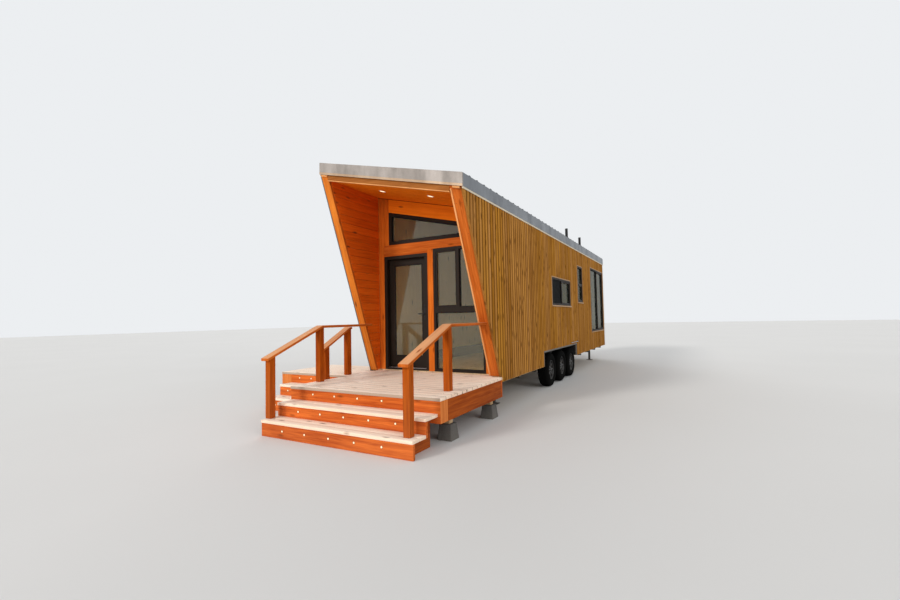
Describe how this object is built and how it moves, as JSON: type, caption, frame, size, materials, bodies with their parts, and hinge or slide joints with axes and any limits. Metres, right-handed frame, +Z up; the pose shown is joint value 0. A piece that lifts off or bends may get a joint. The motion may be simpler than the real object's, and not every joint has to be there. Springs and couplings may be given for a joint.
{
  "type": "tiny house on wheels",
  "caption": "Narrow timber house with one sloping roof on a three-axle trailer, with a leaning covered porch, deck and steps.",
  "frame": {"origin": "on the ground, under the middle of the whole footprint", "axes": "+Z up, +Y from the porch towards the tow hitch, +X to the right as seen from the porch"},
  "size_m": [4.095, 13.694, 4.11],
  "materials": {
    "tyre_rubber": "black tyre rubber, dusty",
    "rim_paint": "gloss black wheel paint with bare edges",
    "chassis_paint": "black chassis paint",
    "jack_steel": "zinc plated steel",
    "floor_boards": "plain floor boards",
    "wall_boards": "oiled upright softwood boards with knots",
    "porch_boards": "red stained level boards",
    "trim_boards": "orange stained trim boards",
    "roof_metal": "standing seam sheet, grey",
    "edge_metal": "pale grey folded sheet edging",
    "black_plastic": "matt black",
    "bronze_frame": "dark bronze powder coat",
    "window_glass": "clear double glazing",
    "black_metal": "black door furniture",
    "deck_timber": "sun bleached deck boards",
    "stained_timber": "orange red stained timber",
    "raw_timber": "unstained timber",
    "concrete": "cast concrete"
  },
  "bodies": {
    "house": {"axles": "chassis_paint", "coupler": "chassis_paint", "deck_boards": "deck_timber", "deck_frame": "stained_timber", "door_frame": "bronze_frame", "door_hinge_pins": "black_metal", "end_fascias": "edge_metal", "floor": "floor_boards", "front_step_risers": "stained_timber", "front_step_treads": "deck_timber", "front_wall_left": "porch_boards", "front_wall_post": "porch_boards", "front_wall_right": "porch_boards", "front_wall_top": "porch_boards", "front_window_frames": "bronze_frame", "front_window_glass": "window_glass", "handrails": "stained_timber", "landing_boards": "deck_timber", "landing_frame": "stained_timber", "left_porch_wall": "porch_boards", "left_wall": "wall_boards", "pier_blocks": "concrete", "pier_posts": "raw_timber", "porch_beam": "trim_boards", "porch_ceiling": "porch_boards", "porch_trims": "trim_boards", "railing_posts": "stained_timber", "rear_wall": "wall_boards", "right_porch_wall": "wall_boards", "right_wall": "wall_boards", "roof": "roof_metal", "roof_vents": "black_plastic", "side_fascias": "edge_metal", "side_step_risers": "stained_timber", "side_step_treads": "deck_timber", "side_window_frames": "bronze_frame", "side_window_glass": "window_glass", "stabiliser_legs": "jack_steel", "tongue": "chassis_paint", "tongue_jack": "jack_steel", "trailer_frame": "chassis_paint", "wheel_housings": "black_plastic"},
    "front_door": {"door_leaf": "bronze_frame", "door_glass": "window_glass", "door_fittings": "black_metal"},
    "wheel_left_1": {"tyre_left_1": "tyre_rubber", "rim_left_1": "rim_paint"},
    "wheel_left_2": {"tyre_left_2": "tyre_rubber", "rim_left_2": "rim_paint"},
    "wheel_left_3": {"tyre_left_3": "tyre_rubber", "rim_left_3": "rim_paint"},
    "wheel_right_1": {"tyre_right_1": "tyre_rubber", "rim_right_1": "rim_paint"},
    "wheel_right_2": {"tyre_right_2": "tyre_rubber", "rim_right_2": "rim_paint"},
    "wheel_right_3": {"tyre_right_3": "tyre_rubber", "rim_right_3": "rim_paint"}
  },
  "joints": [
    {"name": "front_door_hinge", "type": "hinge", "parent": "house", "child": "front_door", "pos_m": [-0.279, -4.105, 0.6], "axis": [0, 0, 1], "range_deg": [0, 90]},
    {"name": "wheel_left_1_spin", "type": "hinge", "parent": "house", "child": "wheel_left_1", "pos_m": [-0.45, -1.373, 0.36], "axis": [1, 0, 0], "continuous": true},
    {"name": "wheel_left_2_spin", "type": "hinge", "parent": "house", "child": "wheel_left_2", "pos_m": [-0.45, -0.483, 0.36], "axis": [1, 0, 0], "continuous": true},
    {"name": "wheel_left_3_spin", "type": "hinge", "parent": "house", "child": "wheel_left_3", "pos_m": [-0.45, 0.407, 0.36], "axis": [1, 0, 0], "continuous": true},
    {"name": "wheel_right_1_spin", "type": "hinge", "parent": "house", "child": "wheel_right_1", "pos_m": [1.855, -1.373, 0.36], "axis": [1, 0, 0], "continuous": true},
    {"name": "wheel_right_2_spin", "type": "hinge", "parent": "house", "child": "wheel_right_2", "pos_m": [1.855, -0.483, 0.36], "axis": [1, 0, 0], "continuous": true},
    {"name": "wheel_right_3_spin", "type": "hinge", "parent": "house", "child": "wheel_right_3", "pos_m": [1.855, 0.407, 0.36], "axis": [1, 0, 0], "continuous": true}
  ]
}
